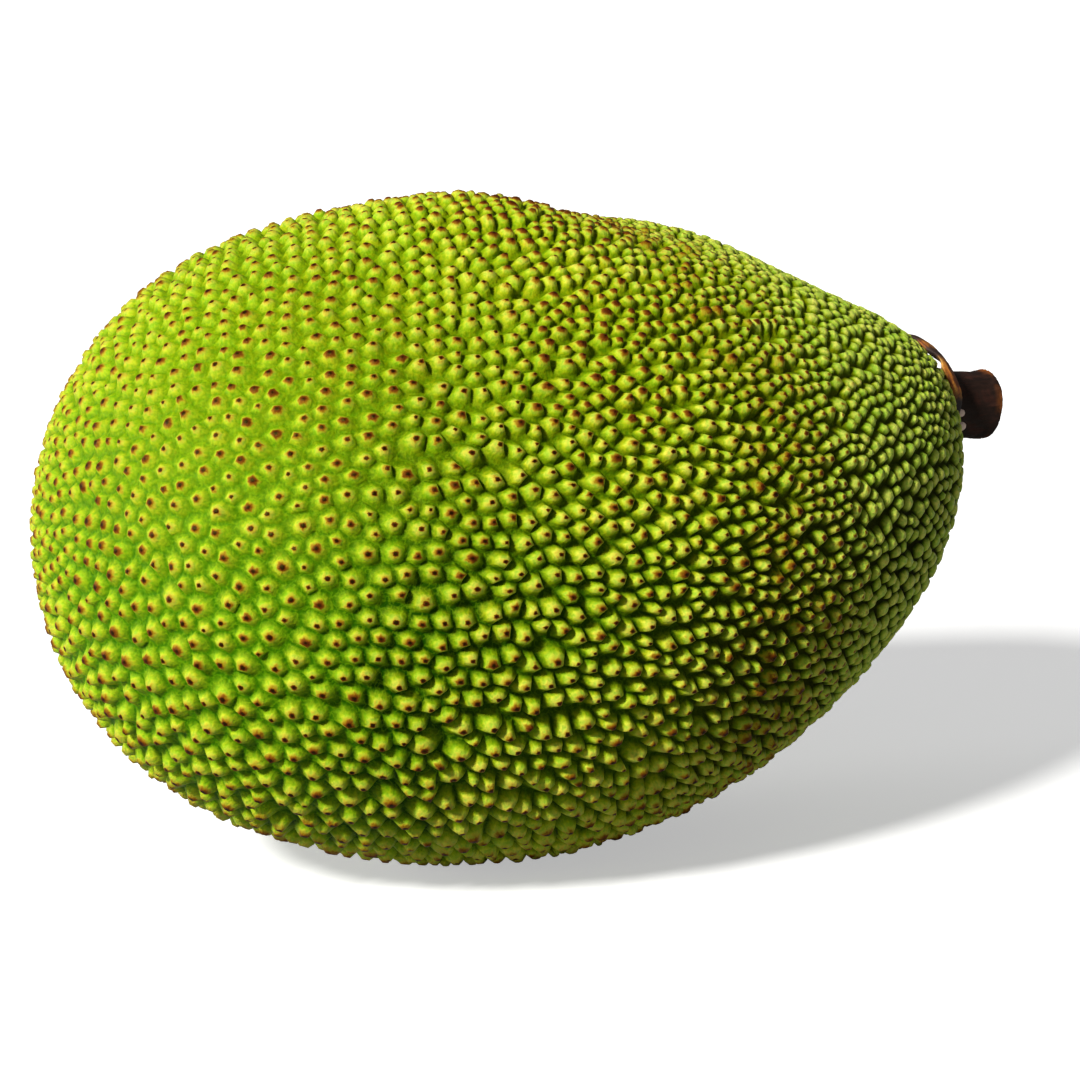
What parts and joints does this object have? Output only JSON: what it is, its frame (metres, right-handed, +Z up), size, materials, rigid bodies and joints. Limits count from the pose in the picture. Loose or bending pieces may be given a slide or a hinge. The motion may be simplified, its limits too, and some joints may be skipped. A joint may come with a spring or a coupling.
{
  "type": "jackfruit",
  "caption": "Whole ripe-green jackfruit lying on its side: egg-shaped rind covered in pointed hexagonal tubercles, with a cut stem and a dried collar.",
  "frame": {"origin": "on the surface that the fruit lies on, under the middle of its box", "axes": "+Z up, +X along the fruit's long axis towards the stem, +Y across"},
  "size_m": [0.4677, 0.287, 0.2923],
  "materials": {
    "rind": "waxy tubercled fruit rind, yellow-green with brown tips at the blossom end, deep green at the stem end",
    "stem": "dried dark brown bark with a torn rim at the cut",
    "collar": "dried fibrous bract tissue, orange-brown and black"
  },
  "bodies": {
    "root": {"rind": "rind", "stem": "stem", "collar": "collar"}
  },
  "joints": []
}
